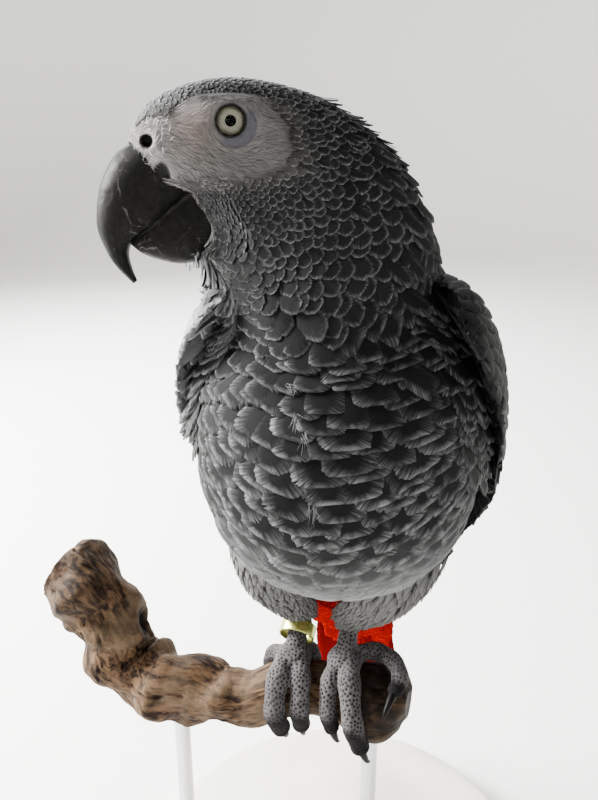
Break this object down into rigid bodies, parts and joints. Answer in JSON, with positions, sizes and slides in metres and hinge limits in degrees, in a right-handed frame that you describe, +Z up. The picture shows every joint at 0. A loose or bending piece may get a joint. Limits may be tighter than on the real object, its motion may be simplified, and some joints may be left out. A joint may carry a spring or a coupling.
{
  "type": "grey parrot on a perch",
  "caption": "Life-size grey parrot with a red tail, gripping a cut length of branch held over a round base by two rods.",
  "frame": {"origin": "on the underside of the stand's base, straight below the middle of the parrot's trunk, at the height of the floor", "axes": "+Z up, -Y the way the trunk faces, +X the parrot's left; the head is turned about 72 degrees to its right"},
  "size_m": [0.1931, 0.156, 0.3161],
  "materials": {
    "plumage": "scalloped grey feathers with paler fringes",
    "face": "pale grey head with fine dark scaling and bare whitish skin round the eye",
    "flight": "smooth dark slate wing feathers",
    "tail": "scarlet tail feathers",
    "bill": "satin black horn",
    "claw": "black horn",
    "eye": "wet, pale straw iris round a black pupil",
    "foot": "pale grey skin with small dark scales",
    "ring": "anodised yellow-green band, bare of marks",
    "wood": "tan gnarled wood with pits and dark hollows",
    "base": "plain painted board, satin off-white",
    "rod": "plain satin steel"
  },
  "bodies": {
    "root": {"head": "face", "neck": "plumage", "trunk": "plumage", "upper_bill": "bill", "lower_bill": "bill", "eye_left": "eye", "eye_right": "eye", "tail": "tail", "wing_left": "flight", "wing_right": "flight", "primaries_left": "flight", "primaries_right": "flight", "thigh_left": "plumage", "thigh_right": "plumage", "foot_left": "foot", "foot_right": "foot", "claw_left_toe_1": "claw", "claw_left_toe_2": "claw", "claw_left_toe_3": "claw", "claw_left_toe_4": "claw", "claw_right_toe_1": "claw", "claw_right_toe_2": "claw", "claw_right_toe_3": "claw", "claw_right_toe_4": "claw", "leg_ring": "ring", "perch": "wood", "stand_base": "base", "stand_rod_1": "rod", "stand_rod_2": "rod"}
  },
  "joints": []
}
